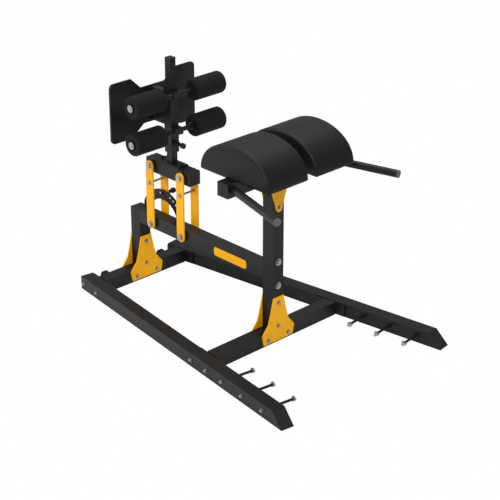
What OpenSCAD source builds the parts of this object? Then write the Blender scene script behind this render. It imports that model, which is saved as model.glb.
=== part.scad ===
// Glute ham developer: splayed base, tilting foot tower on four links, split thigh pad.
// Millimetres, +X to the handles, +Z up, origin on the floor under the middle of the base.

/* [Base frame] */
// Outside size of the square frame tube
tube = 75; // [70:1:80]
// Wall of the square frame tube
wall = 3; // [2:0.5:4]
// Length of each floor rail along its underside
rail_len = 1860; // [1800:10:2000]
// Width over both rails at the rear end
rear_width = 704; // [680:4:760]
// Angle that each rail splays out towards the front
splay = 8; // [6:0.5:9]
// Distance from the rear end to the middle of the rear cross tube
rear_cross_x = 108; // [100:2:120]
// Distance from the rear end to the middle of the front cross tube
front_cross_x = 1161; // [1140:3:1180]
// Height of the top of the main beam
beam_top = 427; // [420:1:440]

/* [Foot tower] */
// Distance from the rear end to the rear link pivots
rear_pivot_x = 261; // [255:1:267]
// Distance between the front and the rear link pivots
pivot_gap = 246; // [240:2:250]
// Distance between the lower and the upper pivot of a link
link_reach = 343; // [335:2:351]
// Width of a link
link_w = 56; // [50:2:60]
// Thickness of a link
link_t = 9; // [8:0.5:10]
// Side of the square mast
mast_w = 40; // [38:1:42]
// Height of the mast above its base plate
mast_h = 582; // [560:2:600]
// Angle between two neighbouring holes of the arc plate
arc_step = 10.6; // [10:0.2:11]
// Distance between two neighbouring holes of the mast
mast_step = 25; // [25:5:30]

/* [Foot hold] */
// Diameter of a foam roller
roller_d = 120; // [110:2:126]
// Length of a foam roller
roller_len = 202; // [190:2:210]
// Height of the lower roller axle
lower_axle_z = 962; // [955:1:970]
// Height of the upper roller axle
upper_axle_z = 1164; // [1158:1:1172]
// Thickness of the foot plate
foot_plate_t = 12; // [8:1:14]

/* [Thigh pad] */
// Length of each pad along the machine
pad_len = 490; // [460:10:520]
// Width of each pad half
pad_w = 272; // [260:4:290]
// Height of the pad crown above its board
pad_h = 172; // [150:2:190]
// Gap between the pad halves
pad_gap = 52; // [40:2:60]
// Height of the top of the pad crossbar
crossbar_top = 985; // [970:5:1000]
// Diameter of a handle
handle_d = 40; // [34:1:42]
// Length of a handle
handle_len = 430; // [400:5:450]

/* [Hidden] */
$fn = 48;
half = tube / 2;
frame_len = rail_len * cos(splay) + tube * sin(splay);
fit = 0.05;
gap = 0.3;
flange_t = 8;
flange_len = 190;
flange_bolt = 67;
gusset_t = 6;
beam_z = beam_top - half;
pivot_z = beam_top - 41;
link_in = half + 9.5;
link_out = link_in + link_t;
pin_r = 10;
front_pivot_x = rear_pivot_x + pivot_gap;
upper_z = pivot_z + link_reach;
arc_r = 150;
arc_t = 8;
arc_hole_r = 8.4;
plunger_r = 8;
mast_pin_travel = 12;
arc_pin_travel = 8;
pin_boss = 26;
pin_housing = 24;
plug_t = 6;
lobe_r = 26;
handle_splay = 15.5;
handle_y = 308;
carriage_rear = rear_pivot_x - 43;
carriage_len = pivot_gap + 105;
carriage_top = upper_z + half;
mast_x = rear_pivot_x + 129;
mast_base_z = carriage_top + 8;
sleeve_w = mast_w + 14;
sleeve_bore = mast_w + 1;
sleeve_low = mast_base_z + 60;
sleeve_h = 380;
sleeve_front = mast_x + sleeve_w / 2;
sleeve_rear = mast_x - sleeve_w / 2;
axle_r = 12.5;
axle_x = sleeve_front + 16;
core_r = 17;
roller_in = 107;
plate_front = mast_x - 141;
pin_z = sleeve_low + 55;
post_top = crossbar_top - tube;
board_t = 6;
pad_x = front_cross_x + 26;
pad_z = crossbar_top + board_t;
crossbar_len = 696;
peg_first = 1367;
peg_step = 169.5;
wheel_r = 32;
wheel_x = 36;
wheel_y = 205;

// Shared helpers

module place() {
  translate([-frame_len / 2, 0, 0]) children();
}

module both_sides() {
  children();
  mirror([0, 1, 0]) children();
}

// Square tube along +X with an open bore, centred in Y and Z
module tube_x(length, side = tube, skin = wall) {
  translate([0, -side / 2, -side / 2])
  difference() {
    cube([length, side, side]);
    translate([-1, skin, skin]) cube([length + 2, side - 2 * skin, side - 2 * skin]);
  }
}

module tube_z(length, side = tube, skin = wall) {
  translate([-side / 2, -side / 2, 0])
  difference() {
    cube([side, side, length]);
    translate([skin, skin, -1]) cube([side - 2 * skin, side - 2 * skin, length + 2]);
  }
}

module tube_y(length, side = tube, skin = wall) {
  translate([-side / 2, -length / 2, -side / 2])
  difference() {
    cube([side, length, side]);
    translate([skin, -1, skin]) cube([side - 2 * skin, length + 2, side - 2 * skin]);
  }
}

// Frame of one rail: x runs along it from its rear outer corner, y points inwards
module on_rail() {
  translate([0, -rear_width / 2, 0]) rotate([0, 0, -splay]) children();
}

// Y of the inner face of the right-hand rail at a distance from the rear end
function rail_inner(x) = rear_width / 2 + x * tan(splay) - tube / cos(splay);

// Distance along a rail to where a cross tube meets it
function along_rail(x) = (x - tube * sin(splay)) / cos(splay);

// Hexagon head on a washer, standing on a face and pointing to +Z
module bolt_head(washer_r = 15, head_r = 11) {
  cylinder(r = washer_r, h = 2.5);
  translate([0, 0, 2.5]) cylinder(r = head_r, h = 8, $fn = 6);
}

module both_sides_flat() {
  children();
  mirror([1, 0]) children();
}

module side_plate(thickness) {
  rotate([90, 0, 90]) linear_extrude(thickness) children();
}

// Base frame

module rail() {
  color("#242424") place() on_rail()
  difference() {
    translate([0, half, half]) tube_x(rail_len);
    translate([rail_len, -1, 0]) rotate([0, -45, 0]) cube([2 * tube, tube + 2, 3 * tube]);
  }
}

module left_rail() {
  mirror([0, 1, 0]) rail();
}

module right_rail() {
  rail();
}

// Plugs in the rails' rear and sloped front mouths, the rear post's top and the crossbar's ends
module tube_plugs() {
  plug = tube - 2 * wall;
  color("#161616") place() {
    translate([rear_cross_x - plug / 2, -plug / 2, beam_top - plug_t]) cube([plug, plug, plug_t]);
    both_sides() translate([front_cross_x - plug / 2, -crossbar_len / 2, crossbar_top - half - plug / 2])
      cube([plug, plug_t, plug]);
  }
  color("#161616") place() both_sides() on_rail() {
    translate([0, wall, wall]) cube([plug_t, plug, plug]);
    translate([0, wall, 0])
    intersection() {
      translate([0, 0, wall]) cube([rail_len, plug, plug]);
      translate([rail_len, 0, 0]) rotate([0, -45, 0]) translate([-5, 0, -1]) cube([5, plug, 2 * tube]);
    }
  }
}

module cross_tubes() {
  color("#242424") place()
  for (x = [rear_cross_x, front_cross_x])
    intersection() {
      translate([x, 0, half]) tube_y(2 * rail_inner(x) + tube);
      both_sides_wedge(flange_t);
    }
}

// Space between the rails' inner faces, less an inset at each side
module both_sides_wedge(inset) {
  near = rail_inner(0) - inset / cos(splay);
  far = rail_inner(rail_len) - inset / cos(splay);
  linear_extrude(2 * tube) polygon([[0, -near], [rail_len, -far], [rail_len, far], [0, near]]);
}

module cross_flanges() {
  color("#242424") place()
  for (x = [rear_cross_x, front_cross_x])
    both_sides() on_rail()
    translate([along_rail(x) - flange_len / 2, tube, 4]) cube([flange_len, flange_t, tube - 8]);
}

module rear_post() {
  color("#242424") place() translate([rear_cross_x, 0, tube]) tube_z(beam_top - tube);
}

module front_post() {
  color("#242424") place() translate([front_cross_x, 0, tube]) tube_z(post_top - tube);
}

module main_beam() {
  start = rear_cross_x + half;
  color("#2e2e2e") place() translate([start, 0, beam_z]) tube_x(front_cross_x - half - start);
}

// Bell-shaped plate over the foot of a post and its cross tube
module bell_outline(top) {
  difference() {
    polygon([[-half + 2, top], [half - 2, top], [58, 165], [72, 120], [116, 66], [104, 10], [-104, 10],
      [-116, 66], [-72, 120], [-58, 165]]);
    for (side = [-1, 1]) translate([side * 118, 172]) circle(r = 58);
  }
}

module base_gussets() {
  color("#f2b400") place()
  for (x = [rear_cross_x, front_cross_x])
    for (face = [half, -half - gusset_t])
      translate([x + face, 0, 0]) side_plate(gusset_t) bell_outline(262);
}

module pad_gussets() {
  color("#f2b400") place()
  for (face = [half, -half - gusset_t])
    translate([front_cross_x + face, 0, post_top])
    side_plate(gusset_t) {
      polygon([[-68, 40], [-68, 4], [-22, -148], [22, -148], [68, 4], [68, 40]]);
      translate([0, -148]) circle(r = 22);
    }
}

module pad_crossbar() {
  color("#242424") place() translate([front_cross_x, 0, crossbar_top - half]) tube_y(crossbar_len);
}

// Frame of one handle: z runs out along it from the crossbar's front face
module on_handle() {
  translate([front_cross_x + half, -handle_y, crossbar_top - half]) rotate([0, 90, -handle_splay]) children();
}

module handles() {
  color("#1f1f1f") place()
  difference() {
    both_sides() on_handle() translate([0, 0, -30]) cylinder(d = handle_d, h = handle_len + 30);
    translate([front_cross_x, -500, crossbar_top - tube]) cube([half, 1000, tube]);
  }
}

module handle_caps() {
  color("#6b6b6b") place() both_sides() on_handle() translate([0, 0, handle_len]) cylinder(d = handle_d, h = 5);
}

// Thigh pad

module pad_boards() {
  color("#1b1b1b") place() both_sides()
  translate([pad_x - pad_len / 2 + 8, pad_gap / 2 + 8, crossbar_top]) cube([pad_len - 16, pad_w - 16, board_t]);
}

// Half-ellipse crown, cut flat underneath and drawn in by an inset
module pad_outline(inset) {
  long = pad_len / 2 - inset;
  high = pad_h - inset;
  polygon([for (turn = [0:7.5:180]) [long * cos(turn), high * sin(turn)]]);
}

module pad() {
  color("#1c1c1c") place()
  translate([pad_x, pad_gap / 2, pad_z])
  hull() {
    translate([0, pad_w, 0]) rotate([90, 0, 0]) linear_extrude(pad_w) pad_outline(14);
    translate([0, pad_w - 5, 0]) rotate([90, 0, 0]) linear_extrude(pad_w - 10) pad_outline(4);
    translate([0, pad_w - 14, 0]) rotate([90, 0, 0]) linear_extrude(pad_w - 28) pad_outline(0);
  }
}

module left_pad() {
  pad();
}

module right_pad() {
  mirror([0, 1, 0]) pad();
}

// Plain plate with rounded ends on the side of the beam
module nameplate() {
  color("#f2b400") place()
  translate([880, -half, beam_z - 4]) rotate([90, 0, 0]) linear_extrude(3) {
    square([246, 20], center = true);
    square([218, 48], center = true);
    for (x = [-109, 109]) for (z = [-10, 10]) translate([x, z]) circle(r = 14);
  }
}

// Pegs and fasteners

module band_pegs() {
  color("#1a1a1a") place() both_sides() on_rail()
  for (i = [0:2])
    translate([peg_first + i * peg_step, tube, half]) rotate([-90, 0, 0]) {
      cylinder(r = 17, h = 5);
      cylinder(r = 7, h = 108);
    }
}

module peg_nuts() {
  color("#c8c8c8") place() both_sides() on_rail()
  for (i = [0:2])
    translate([peg_first + i * peg_step, tube + 108, half]) rotate([-90, 0, 0])
    for (turn = [0:120:240]) rotate([0, 0, turn]) translate([7, 0, 0]) cylinder(r = 8, h = 12);
}

module frame_bolts() {
  color("#c9cbcc") place() {
    both_sides() on_rail() {
      for (x = [rear_cross_x, front_cross_x]) for (way = [-1, 1])
        translate([along_rail(x) + way * flange_bolt, 0, half]) rotate([90, 0, 0]) bolt_head(10, 8);
      for (i = [0:2]) translate([peg_first + i * peg_step, 0, half]) rotate([90, 0, 0]) bolt_head(10, 8);
    }
    for (x = [rear_cross_x, front_cross_x]) for (way = [-1, 1]) for (spot = [[0, 229], [0, 94], [72, 32], [-72, 32]])
      translate([x + way * (half + gusset_t), spot[0], spot[1]]) rotate([0, way * 90, 0]) bolt_head(12, 9);
    for (z = [325, 458]) translate([front_cross_x + half, 0, z]) rotate([0, 90, 0]) bolt_head(19, 14);
    for (z = [325, 395]) translate([rear_cross_x - half, 0, z]) rotate([0, -90, 0]) bolt_head(19, 14);
    for (way = [-1, 1]) translate([front_cross_x + way * (half + gusset_t), 0, post_top - 146])
      rotate([0, way * 90, 0]) bolt_head(12, 9);
  }
}

// Foot tower

// Plate with a row of lock holes around the rear pivots, on the far side of the beam
module arc_plate() {
  color("#262626") place()
  translate([rear_pivot_x, half + arc_t, pivot_z]) rotate([90, 0, 0]) linear_extrude(arc_t)
  difference() {
    intersection() {
      circle(r = arc_r + 22, $fn = 96);
      translate([-161, -28]) square([340, 260]);
    }
    circle(r = 116, $fn = 96);
    translate([-120, -80]) square([240, 80]);
    for (i = [-1:4]) rotate(-i * arc_step) translate([0, arc_r]) circle(r = arc_hole_r);
  }
}

// Collar, journal and head that a link turns on
module stub() {
  cylinder(r = 18, h = link_in - half - gap);
  cylinder(r = pin_r, h = link_out - half + gap);
  translate([0, 0, link_out - half + gap]) cylinder(r = 19, h = 3);
  translate([0, 0, link_out - half + gap + 3]) cylinder(r = 14, h = 8, $fn = 6);
}

module stub_set(z) {
  place() both_sides()
  for (x = [rear_pivot_x, front_pivot_x]) translate([x, -half, z]) rotate([90, 0, 0]) stub();
}

module lower_pivots() {
  color("#c9cbcc") stub_set(pivot_z);
}

module upper_pivots() {
  color("#c9cbcc") stub_set(upper_z);
}

module link_outline() {
  difference() {
    union() {
      translate([-link_w / 2, 0]) square([link_w, link_reach]);
      circle(d = link_w);
      translate([0, link_reach]) circle(d = link_w);
    }
    circle(r = pin_r + fit);
    translate([0, link_reach]) circle(r = pin_r + fit);
  }
}

module link_at(x, lock) {
  translate([x, -link_in, pivot_z]) rotate([90, 0, 0]) linear_extrude(link_t)
  difference() {
    link_outline();
    if (lock) translate([0, arc_r]) circle(r = plunger_r + fit);
  }
}

module rear_links() {
  color("#f2b400") place() {
    link_at(rear_pivot_x, false);
    mirror([0, 1, 0]) link_at(rear_pivot_x, true);
  }
}

module front_links() {
  color("#f2b400") place() both_sides() link_at(front_pivot_x, false);
}

module cross_rod(x) {
  place() translate([x, 0, pivot_z + 244]) {
    rotate([90, 0, 0]) cylinder(r = 6, h = 2 * link_in, center = true);
    both_sides() translate([0, -link_out, 0]) rotate([90, 0, 0]) bolt_head(12, 9);
  }
}

module rear_link_rod() {
  color("#b9bbbc") cross_rod(rear_pivot_x);
}

module front_link_rod() {
  color("#b9bbbc") cross_rod(front_pivot_x);
}

module carriage_tube() {
  color("#242424") place() translate([carriage_rear, 0, upper_z]) tube_x(carriage_len);
}

module carriage_plugs() {
  plug = tube - 2 * wall;
  color("#161616") place()
  for (x = [carriage_rear, carriage_rear + carriage_len - plug_t])
    translate([x, -plug / 2, upper_z - plug / 2]) cube([plug_t, plug, plug]);
}

module mast_base() {
  color("#242424") place() {
    translate([mast_x - 92, -36, carriage_top]) cube([180, 72, mast_base_z - carriage_top]);
    for (x = [-78, 74]) translate([mast_x + x, 0, mast_base_z]) bolt_head(10, 8);
  }
}

module mast() {
  color("#242424") place()
  translate([mast_x, 0, mast_base_z])
  difference() {
    tube_z(mast_h, mast_w, 2.5);
    for (z = [5:1:11]) translate([0, 0, pin_z - mast_base_z + (z - 7) * mast_step])
      rotate([0, 90, 0]) cylinder(r = arc_hole_r, h = mast_w);
  }
}

module mast_cap() {
  color("#161616") place() translate([mast_x - mast_w / 2, -mast_w / 2, mast_base_z + mast_h])
  cube([mast_w, mast_w, 4]);
  color("#c9cbcc") place() translate([mast_x + mast_w / 2, 0, mast_base_z + mast_h - 16])
  rotate([0, 90, 0]) bolt_head(10, 8);
}

// Foot hold

module tower_sleeve() {
  color("#1f1f1f") place()
  difference() {
    union() {
      translate([mast_x - sleeve_w / 2, -sleeve_w / 2, sleeve_low]) cube([sleeve_w, sleeve_w, sleeve_h]);
      translate([sleeve_front, 0, pin_z]) rotate([0, 90, 0]) cylinder(r = 14, h = pin_boss);
    }
    translate([mast_x - sleeve_bore / 2, -sleeve_bore / 2, sleeve_low - 1])
      cube([sleeve_bore, sleeve_bore, sleeve_h + 2]);
    translate([mast_x, 0, pin_z]) rotate([0, 90, 0]) cylinder(r = plunger_r + fit, h = 100);
  }
}

// Two through axles, each held on the sleeve's front face by a saddle block
module roller_axles() {
  color("#2a2a2a") place()
  for (z = [lower_axle_z, upper_axle_z]) {
    translate([axle_x, 0, z]) rotate([90, 0, 0]) cylinder(r = axle_r, h = 2 * (roller_in + roller_len) + 4, center = true);
    translate([sleeve_front, -30, z - 18]) cube([34, 60, 36]);
    both_sides() translate([axle_x, -roller_in + 1.5, z]) rotate([-90, 0, 0]) cylinder(r = 22, h = 6);
  }
}

module axle_ends() {
  color("#8d8f90") place()
  for (z = [lower_axle_z, upper_axle_z])
    both_sides() translate([axle_x, -roller_in - roller_len - 2, z]) rotate([90, 0, 0]) {
      cylinder(r = 20, h = 4);
      translate([0, 0, 4]) cylinder(r = 10, h = 4, $fn = 6);
    }
}

module foam(z) {
  place() translate([axle_x, -roller_in, z]) rotate([90, 0, 0])
  rotate_extrude()
  polygon([[core_r, 1], [roller_d / 2 - 8, 1], [roller_d / 2 - 2, 3], [roller_d / 2, 9],
    [roller_d / 2, roller_len - 9], [roller_d / 2 - 2, roller_len - 3], [roller_d / 2 - 8, roller_len - 1],
    [core_r, roller_len - 1]]);
}

module core(z) {
  color("#3b3b3b") place() translate([axle_x, -roller_in, z]) rotate([90, 0, 0])
  difference() {
    cylinder(r = core_r, h = roller_len);
    translate([0, 0, -1]) cylinder(r = axle_r + fit, h = roller_len + 2);
  }
}

module upper_right_foam() {
  color("#1a1a1a") foam(upper_axle_z);
}

module upper_left_foam() {
  color("#1a1a1a") mirror([0, 1, 0]) foam(upper_axle_z);
}

module lower_right_foam() {
  color("#1a1a1a") foam(lower_axle_z);
}

module lower_left_foam() {
  color("#1a1a1a") mirror([0, 1, 0]) foam(lower_axle_z);
}

module upper_right_core() {
  core(upper_axle_z);
}

module upper_left_core() {
  mirror([0, 1, 0]) core(upper_axle_z);
}

module lower_right_core() {
  core(lower_axle_z);
}

module lower_left_core() {
  mirror([0, 1, 0]) core(lower_axle_z);
}

module foot_arms() {
  color("#1f1f1f") place()
  for (z = [1005, 1149])
    translate([plate_front, 0, z]) tube_x(sleeve_rear - plate_front, 40, 3);
}

// Two tall lobes joined by a lower web, standing behind the rollers
module foot_plate() {
  color("#1d1d1d") place()
  translate([plate_front - foot_plate_t, 0, 0]) side_plate(foot_plate_t)
  both_sides_flat() {
    polygon([[0, 973], [70, 973], [120, 935], [187, 907], [293 - lobe_r, 907], [293, 907 + lobe_r],
      [293, 1238 - lobe_r], [293 - lobe_r, 1238], [150, 1238], [84, 1175], [0, 1175]]);
    for (z = [907 + lobe_r, 1238 - lobe_r]) translate([293 - lobe_r, z]) circle(r = lobe_r);
  }
}

module plate_bolts() {
  color("#c9cbcc") place()
  for (z = [1005, 1149])
    translate([plate_front - foot_plate_t, 0, z]) rotate([0, -90, 0]) bolt_head(10, 8);
}

// Lock pins, drawn just clear of their holes

module plunger(reach) {
  cylinder(r = plunger_r, h = reach + 1);
  translate([0, 0, reach]) cylinder(r = 9, h = 14);
  translate([0, 0, reach + 14]) cylinder(r = 15, h = 18);
}

module mast_pin() {
  start = mast_x + mast_w / 2 + gap;
  color("#b9bbbc") place() translate([start, 0, pin_z]) rotate([0, 90, 0])
  plunger(sleeve_front + pin_boss + mast_pin_travel + gap - start);
}

module arc_pin() {
  start = half + arc_t + gap;
  color("#b9bbbc") place() translate([rear_pivot_x, start, pivot_z + arc_r]) rotate([-90, 0, 0])
  plunger(link_out + pin_housing + arc_pin_travel + gap - start);
}

module arc_pin_housing() {
  color("#1f1f1f") place() translate([rear_pivot_x, link_out, pivot_z + arc_r]) rotate([-90, 0, 0])
  difference() {
    cylinder(r = 14, h = pin_housing);
    translate([0, 0, -1]) cylinder(r = plunger_r + fit, h = pin_housing + 2);
  }
}

// Transport wheels

module wheel_brackets() {
  color("#242424") place() both_sides() {
    for (y = [wheel_y - 18, wheel_y + 12])
      translate([wheel_x - 12, y, wheel_x - 12]) cube([rear_cross_x - half - wheel_x + 12, 6, 24]);
    translate([wheel_x, wheel_y - 12, wheel_x]) rotate([-90, 0, 0]) cylinder(r = 5, h = 24);
  }
}

module wheel() {
  color("#141414") place() translate([wheel_x, wheel_y - 11, wheel_x]) rotate([-90, 0, 0])
  difference() {
    cylinder(r = wheel_r, h = 22);
    translate([0, 0, -1]) cylinder(r = 5 + fit, h = 24);
  }
}

module left_wheel() {
  wheel();
}

module right_wheel() {
  mirror([0, 1, 0]) wheel();
}

left_rail();
right_rail();
tube_plugs();
cross_tubes();
cross_flanges();
rear_post();
front_post();
main_beam();
base_gussets();
pad_gussets();
pad_crossbar();
handles();
handle_caps();
pad_boards();
left_pad();
right_pad();
nameplate();
band_pegs();
peg_nuts();
frame_bolts();
arc_plate();
lower_pivots();
rear_links();
rear_link_rod();
front_links();
front_link_rod();
carriage_tube();
carriage_plugs();
upper_pivots();
mast_base();
mast();
mast_cap();
tower_sleeve();
roller_axles();
axle_ends();
foot_arms();
foot_plate();
plate_bolts();
mast_pin();
arc_pin();
arc_pin_housing();
upper_left_foam();
upper_right_foam();
lower_left_foam();
lower_right_foam();
upper_left_core();
upper_right_core();
lower_left_core();
lower_right_core();
wheel_brackets();
left_wheel();
right_wheel();
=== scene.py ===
"""Photo-like scene of a glute ham developer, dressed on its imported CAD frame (metres, +Z up)."""

import logging
import math
from dataclasses import dataclass
from enum import Enum

import bpy
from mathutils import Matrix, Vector


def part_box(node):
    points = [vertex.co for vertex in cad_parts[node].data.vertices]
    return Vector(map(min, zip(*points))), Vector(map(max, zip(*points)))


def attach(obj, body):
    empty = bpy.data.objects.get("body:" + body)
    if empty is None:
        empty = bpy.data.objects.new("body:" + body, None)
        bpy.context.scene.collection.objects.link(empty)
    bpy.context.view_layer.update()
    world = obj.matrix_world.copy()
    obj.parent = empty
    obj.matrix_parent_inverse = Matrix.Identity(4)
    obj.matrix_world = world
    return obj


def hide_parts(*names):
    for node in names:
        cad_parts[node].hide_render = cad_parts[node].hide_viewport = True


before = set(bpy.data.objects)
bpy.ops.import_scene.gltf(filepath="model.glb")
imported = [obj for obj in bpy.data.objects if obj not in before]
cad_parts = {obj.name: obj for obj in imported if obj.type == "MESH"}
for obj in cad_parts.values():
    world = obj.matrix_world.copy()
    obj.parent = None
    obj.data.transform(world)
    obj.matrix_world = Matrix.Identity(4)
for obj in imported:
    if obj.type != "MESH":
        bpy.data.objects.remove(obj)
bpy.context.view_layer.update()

LOG = logging.getLogger("scene")
CAMERA_PLACE = Vector((5.4245, -5.1383, 3.9549))
CAMERA_TARGET = Vector((-0.0652, 0.1241, 0.3716))
CAMERA_LENS_MM = 113.9
EDGE_BEVEL = 0.0012
BEVEL_ANGLE = math.radians(40)
CROWN_STEPS = 72
CROWN_FULLNESS = 0.96
ROLLER_STEPS = 72
FOAM_BORE = 0.0175
RIM_RETURN = 0.002
SPANS = 6
GLOSS_PATCHES_PER_METRE = 11.0
LIGHT_AIM = Vector((0, 0, 0.6))
WHITE = (1.0, 1.0, 1.0, 1.0)
PAPER = (0.9, 0.9, 0.9, 1.0)
ROLLERS = ("upper_left", "upper_right", "lower_left", "lower_right")


class Grain(Enum):
    """Kind of fine surface relief."""

    ORANGE_PEEL = "orange peel of powder coat"
    LEATHER = "pebbled vinyl"
    FOAM = "closed-cell foam skin"
    PLAIN = "smooth"


@dataclass(frozen=True)
class Finish:
    """One surface finish, in real sizes.

    Attributes:
        name: Material name, after what it is.
        colour: sRGB hex colour.
        roughness: Mean roughness of the surface.
        metallic: 1 for bare metal, otherwise 0.
        grain: Kind of fine relief.
        grain_mm: Size of one grain of the relief, in millimetres.
        relief: Strength of the bump, from 0 to 1.
        specular: Strength of the mirror part, 0.5 for a bare dielectric.
    """

    name: str
    colour: str
    roughness: float
    metallic: float = 0.0
    grain: Grain = Grain.PLAIN
    grain_mm: float = 1.0
    relief: float = 0.0
    specular: float = 0.2


BLACK_COAT = Finish("powder-coated steel, black", "#171616", 0.40, 0.0, Grain.ORANGE_PEEL, 1.6, 0.10)
BEAM_COAT = Finish("powder-coated steel, black gloss", "#1b1b1b", 0.28, 0.0, Grain.ORANGE_PEEL, 1.8, 0.06)
YELLOW_COAT = Finish("powder-coated steel, yellow", "#eaa800", 0.50, 0.0, Grain.ORANGE_PEEL, 1.6, 0.06)
ZINC = Finish("zinc-plated steel", "#a3a09b", 0.36, 1.0, Grain.ORANGE_PEEL, 0.8, 0.04)
PLUG = Finish("polyethylene plug, black", "#1c1c1c", 0.55)
CAP = Finish("turned aluminium cap", "#5c5a58", 0.50, 0.4)
VINYL = Finish("PVC leather, black", "#121212", 0.50, 0.0, Grain.LEATHER, 1.4, 0.22)
FOAM = Finish("NBR foam, black", "#101010", 0.82, 0.0, Grain.FOAM, 0.9, 0.30)
TREAD = Finish("moulded rubber, black", "#181818", 0.75, 0.0, Grain.FOAM, 1.5, 0.10)

NODE_FINISH: dict[Finish, tuple[str, ...]] = {
    YELLOW_COAT: ("base_gussets", "pad_gussets", "nameplate", "rear_links", "front_links"),
    ZINC: ("peg_nuts", "frame_bolts", "lower_pivots", "upper_pivots", "rear_link_rod", "front_link_rod",
           "axle_ends", "plate_bolts"),
    PLUG: ("tube_plugs", "carriage_plugs", "mast_pin", "arc_pin") + tuple(f"{name}_core" for name in ROLLERS),
    CAP: ("handle_caps",),
    BEAM_COAT: ("main_beam",),
    TREAD: ("left_wheel", "right_wheel"),
}


def linear(hex_colour: str) -> tuple[float, float, float, float]:
    """Turns an sRGB hex colour into linear RGBA.

    Args:
        hex_colour: Colour such as "#f5b301".

    Returns:
        Linear red, green, blue and alpha.
    """
    parts = [int(hex_colour[i:i + 2], 16) / 255 for i in (1, 3, 5)]
    red, green, blue = (c / 12.92 if c <= 0.04045 else ((c + 0.055) / 1.055) ** 2.4 for c in parts)
    return red, green, blue, 1.0


def add_node(tree: bpy.types.NodeTree, kind: str, values: dict[str, object] | None = None,
             links: dict[str, bpy.types.NodeSocket] | None = None) -> bpy.types.Node:
    """Adds a shader node with its settings and links.

    Args:
        tree: Node tree that takes the node.
        kind: Node type name.
        values: Constants for named inputs.
        links: Output sockets to join to named inputs.

    Returns:
        The new node.
    """
    node = tree.nodes.new(kind)
    for name, value in (values or {}).items():
        node.inputs[name].default_value = value
    for name, socket in (links or {}).items():
        tree.links.new(socket, node.inputs[name])
    return node


def make_material(finish: Finish) -> bpy.types.Material:
    """Builds the node material of a finish.

    Args:
        finish: What the surface is.

    Returns:
        The material.
    """
    material = bpy.data.materials.new(finish.name)
    material.use_nodes = True
    tree = material.node_tree
    shader = tree.nodes["Principled BSDF"]
    shader.inputs["Base Color"].default_value = linear(finish.colour)
    shader.inputs["Roughness"].default_value = finish.roughness
    shader.inputs["Metallic"].default_value = finish.metallic
    shader.inputs["Specular IOR Level"].default_value = finish.specular
    if finish.grain is Grain.PLAIN:
        return material
    place = add_node(tree, "ShaderNodeTexCoord").outputs["Object"]
    # Noise scale counts grains per metre, so a grain of grain_mm has a scale of 1000 / grain_mm.
    scale = 1000 / finish.grain_mm
    if finish.grain is Grain.LEATHER:
        pebbles = add_node(tree, "ShaderNodeTexVoronoi", {"Scale": scale}, {"Vector": place})
        relief = pebbles.outputs["Distance"]
    else:
        ripple = add_node(tree, "ShaderNodeTexNoise", {"Scale": scale, "Detail": 3.0}, {"Vector": place})
        relief = ripple.outputs["Fac"]
    bump = add_node(tree, "ShaderNodeBump", {"Strength": finish.relief, "Distance": finish.grain_mm / 4000},
                    {"Height": relief})
    tree.links.new(bump.outputs["Normal"], shader.inputs["Normal"])
    # Handling and dust change the gloss in patches about 90 mm wide.
    patches = add_node(tree, "ShaderNodeTexNoise", {"Scale": GLOSS_PATCHES_PER_METRE, "Detail": 4.0},
                       {"Vector": place})
    spread = add_node(tree, "ShaderNodeMapRange", {"To Min": finish.roughness - 0.05,
                                                   "To Max": finish.roughness + 0.07},
                      {"Value": patches.outputs["Fac"]})
    tree.links.new(spread.outputs["Result"], shader.inputs["Roughness"])
    return material


def make_object(name: str, points: list[tuple[float, float, float]], faces: list[tuple[int, ...]],
                material: bpy.types.Material) -> bpy.types.Object:
    """Makes a smooth mesh object.

    Args:
        name: Name of the piece.
        points: Vertices, in metres in the row frame.
        faces: Vertex indices of each face.
        material: Surface of the piece.

    Returns:
        The new object, linked to the scene.
    """
    mesh = bpy.data.meshes.new(name)
    mesh.from_pydata(points, [], faces)
    mesh.materials.append(material)
    mesh.polygons.foreach_set("use_smooth", [True] * len(mesh.polygons))
    mesh.update()
    piece = bpy.data.objects.new(name, mesh)
    bpy.context.scene.collection.objects.link(piece)
    return piece


def skin_rings(rings: list[list[tuple[float, float, float]]]) -> tuple[list, list]:
    """Joins closed rings of equal length into one closed skin.

    Args:
        rings: Rings of points, in order.

    Returns:
        Points and faces.
    """
    count = len(rings[0])
    points = [point for ring in rings for point in ring]
    faces = []
    for ring in range(len(rings) - 1):
        here, there = ring * count, (ring + 1) * count
        for i in range(count):
            after = (i + 1) % count
            faces.append((here + i, here + after, there + after, there + i))
    faces.append(tuple(reversed(range(count))))
    faces.append(tuple(range((len(rings) - 1) * count, len(rings) * count)))
    return points, faces


def rounded_rows(start: float, end: float, radius: float, steps: int = 8) -> list[tuple[float, float]]:
    """Places rows across a width, with how far each is drawn in at the rounded ends.

    Args:
        start: First edge of the width.
        end: Last edge of the width.
        radius: Radius of the rounded ends.
        steps: Rows in each rounded end.

    Returns:
        Pairs of place and inset.
    """
    turns = [math.pi / 2 * i / steps for i in range(steps + 1)]
    first = [(start + radius * (1 - math.sin(t)), radius * (1 - math.cos(t))) for t in turns]
    last = [(end - radius * (1 - math.sin(t)), radius * (1 - math.cos(t))) for t in turns]
    middle = [(start + radius + (end - start - 2 * radius) * i / SPANS, 0.0) for i in range(1, SPANS)]
    return sorted(first + middle + last)


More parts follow.
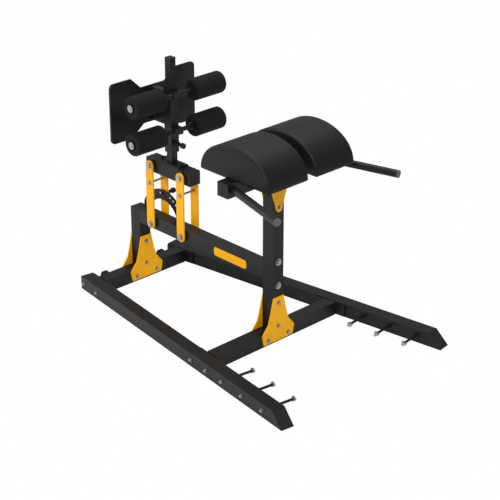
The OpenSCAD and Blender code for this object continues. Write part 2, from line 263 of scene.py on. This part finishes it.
@dataclass
class ThighPad:
    """One half of the split thigh pad: a crowned vinyl cover, tight over firm foam.

    Attributes:
        side: "left" or "right".
        vinyl: Cover material.
        edge_radius: Radius where the crown turns into an end panel.
    """

    side: str
    vinyl: bpy.types.Material
    edge_radius: float = 0.012

    def outline(self, low: Vector, high: Vector, y: float, inset: float) -> list[tuple[float, float, float]]:
        """Draws the half-ellipse section of the pad at one place across its width.

        Args:
            low: Lowest corner of the CAD pad.
            high: Highest corner of the CAD pad.
            y: Place across the width.
            inset: How far the section is drawn in.

        Returns:
            Points of the closed section.
        """
        middle = (low.x + high.x) / 2
        long = (high.x - low.x) / 2 - inset
        tall = high.z - low.z - inset
        turns = [math.pi * i / CROWN_STEPS for i in range(CROWN_STEPS + 1)]
        return [(middle + long * math.cos(turn), y, low.z + tall * math.sin(turn) ** CROWN_FULLNESS)
                for turn in turns]

    def build(self) -> None:
        """Builds the cover on the frame."""
        node = f"{self.side}_pad"
        low, high = (Vector(corner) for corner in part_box(node))
        rows = rounded_rows(low.y, high.y, self.edge_radius)
        points, faces = skin_rings([self.outline(low, high, y, inset) for y, inset in rows])
        cover = make_object(f"{self.side}_pad_cover", points, faces, self.vinyl)
        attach(cover, "frame")
        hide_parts(node)


@dataclass
class FoamRoller:
    """One foam ankle roller with a rounded rim at each end.

    Attributes:
        place: Which of the four rollers it is.
        foam: Foam material.
        rim: Radius of the rounded rims.
    """

    place: str
    foam: bpy.types.Material
    rim: float = 0.010

    def build(self) -> None:
        """Builds the foam round its axle on the frame."""
        node = f"{self.place}_foam"
        low, high = (Vector(corner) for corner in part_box(node))
        centre = (low + high) / 2
        radius = (high.z - low.z) / 2
        rows = rounded_rows(low.y, high.y, self.rim)
        profile = [(FOAM_BORE, rows[0][0] + RIM_RETURN)] + [(radius - inset, y) for y, inset in rows]
        profile.append((FOAM_BORE, rows[-1][0] - RIM_RETURN))
        count = ROLLER_STEPS
        turns = [2 * math.pi * k / count for k in range(count)]
        points = [(centre.x + r * math.cos(turn), y, centre.z + r * math.sin(turn))
                  for r, y in profile for turn in turns]
        rings = len(profile)
        faces = []
        for ring in range(rings):
            here, there = ring * count, (ring + 1) % rings * count
            for k in range(count):
                after = (k + 1) % count
                faces.append((here + k, here + after, there + after, there + k))
        roller = make_object(f"{self.place}_roller_foam", points, faces, self.foam)
        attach(roller, f"{self.place}_roller")
        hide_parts(node)


@dataclass
class FrameDress:
    """Gives each CAD node its finish and a softened edge.

    Attributes:
        materials: Material of each finish.
    """

    materials: dict[Finish, bpy.types.Material]

    def build(self) -> None:
        """Sets the material slots and edge bevels of every CAD node."""
        finish_of = {node: finish for finish, nodes in NODE_FINISH.items() for node in nodes}
        for name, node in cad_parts.items():
            material = self.materials[finish_of.get(name, BLACK_COAT)]
            for slot in node.material_slots:
                slot.material = material
            bevel = node.modifiers.new("softened_edges", "BEVEL")
            bevel.width = EDGE_BEVEL
            bevel.segments = 2
            bevel.limit_method = "ANGLE"
            bevel.angle_limit = BEVEL_ANGLE
            bevel.use_clamp_overlap = True


@dataclass
class Studio:
    """White studio with soft light and the camera at the photo's angle."""

    floor_half: float = 30.0
    room_light: float = 0.4

    def build(self) -> None:
        """Builds the floor, lights, world and camera."""
        self.floor()
        self.light("key_softbox", (3.0, -3.5, 5.0), 270.0, 3.0)
        self.light("top_softbox", (-1.0, 1.0, 5.5), 170.0, 4.0)
        self.light("side_softbox", (-4.0, -3.0, 2.5), 90.0, 2.5)
        world = bpy.data.worlds.new("white_room")
        bpy.context.scene.world = world
        world.use_nodes = True
        tree = world.node_tree
        room = tree.nodes["Background"]
        room.inputs["Color"].default_value = WHITE
        room.inputs["Strength"].default_value = self.room_light
        backdrop = add_node(tree, "ShaderNodeBackground", {"Color": WHITE, "Strength": 1.0})
        mix = add_node(tree, "ShaderNodeMixShader")
        tree.links.new(add_node(tree, "ShaderNodeLightPath").outputs["Is Camera Ray"], mix.inputs[0])
        tree.links.new(room.outputs["Background"], mix.inputs[1])
        tree.links.new(backdrop.outputs["Background"], mix.inputs[2])
        tree.links.new(mix.outputs["Shader"], tree.nodes["World Output"].inputs["Surface"])
        bpy.context.scene.view_settings.view_transform = "Standard"
        self.camera()

    def floor(self) -> None:
        """Lays the plain pale floor, white where the camera sees it."""
        material = bpy.data.materials.new("white paper floor")
        material.use_nodes = True
        tree = material.node_tree
        shader = tree.nodes["Principled BSDF"]
        shader.inputs["Base Color"].default_value = PAPER
        shader.inputs["Roughness"].default_value = 0.9
        ray = add_node(tree, "ShaderNodeLightPath")
        white = add_node(tree, "ShaderNodeEmission", {"Color": WHITE, "Strength": 1.0})
        mix = add_node(tree, "ShaderNodeMixShader")
        tree.links.new(ray.outputs["Is Camera Ray"], mix.inputs[0])
        tree.links.new(shader.outputs["BSDF"], mix.inputs[1])
        tree.links.new(white.outputs["Emission"], mix.inputs[2])
        tree.links.new(mix.outputs["Shader"], tree.nodes["Material Output"].inputs["Surface"])
        size = self.floor_half
        corners = [(-size, -size, 0.0), (size, -size, 0.0), (size, size, 0.0), (-size, size, 0.0)]
        make_object("paper_floor", corners, [(0, 1, 2, 3)], material)

    def light(self, name: str, place: tuple[float, float, float], power: float, size: float) -> None:
        """Adds an area light that faces the object.

        Args:
            name: Name of the light.
            place: Where it stands, in metres.
            power: Power in watts.
            size: Side of the square, in metres.
        """
        lamp = bpy.data.lights.new(name, "AREA")
        lamp.energy = power
        lamp.size = size
        stand = bpy.data.objects.new(name, lamp)
        stand.location = place
        stand.rotation_euler = (LIGHT_AIM - Vector(place)).to_track_quat("-Z", "Y").to_euler()
        bpy.context.scene.collection.objects.link(stand)

    def camera(self) -> None:
        """Stands the camera where the photo was taken from."""
        optics = bpy.data.cameras.new("photo_camera")
        optics.lens = CAMERA_LENS_MM
        optics.sensor_width = 36.0
        optics.clip_end = 100.0
        holder = bpy.data.objects.new("photo_camera", optics)
        holder.location = CAMERA_PLACE
        holder.rotation_euler = (CAMERA_TARGET - CAMERA_PLACE).to_track_quat("-Z", "Y").to_euler()
        bpy.context.scene.collection.objects.link(holder)
        bpy.context.scene.camera = holder


def main() -> None:
    """Builds the dressed frame, the soft pieces and the studio, in that order."""
    logging.basicConfig(level=logging.INFO)
    finishes = (BLACK_COAT, BEAM_COAT, YELLOW_COAT, ZINC, PLUG, CAP, VINYL, FOAM, TREAD)
    materials = {finish: make_material(finish) for finish in finishes}
    LOG.info("dressing the frame")
    FrameDress(materials).build()
    LOG.info("building the pads and rollers")
    for side in ("left", "right"):
        ThighPad(side, materials[VINYL]).build()
    for place in ROLLERS:
        FoamRoller(place, materials[FOAM]).build()
    LOG.info("building the studio")
    Studio().build()


if __name__ == "__main__":
    main()
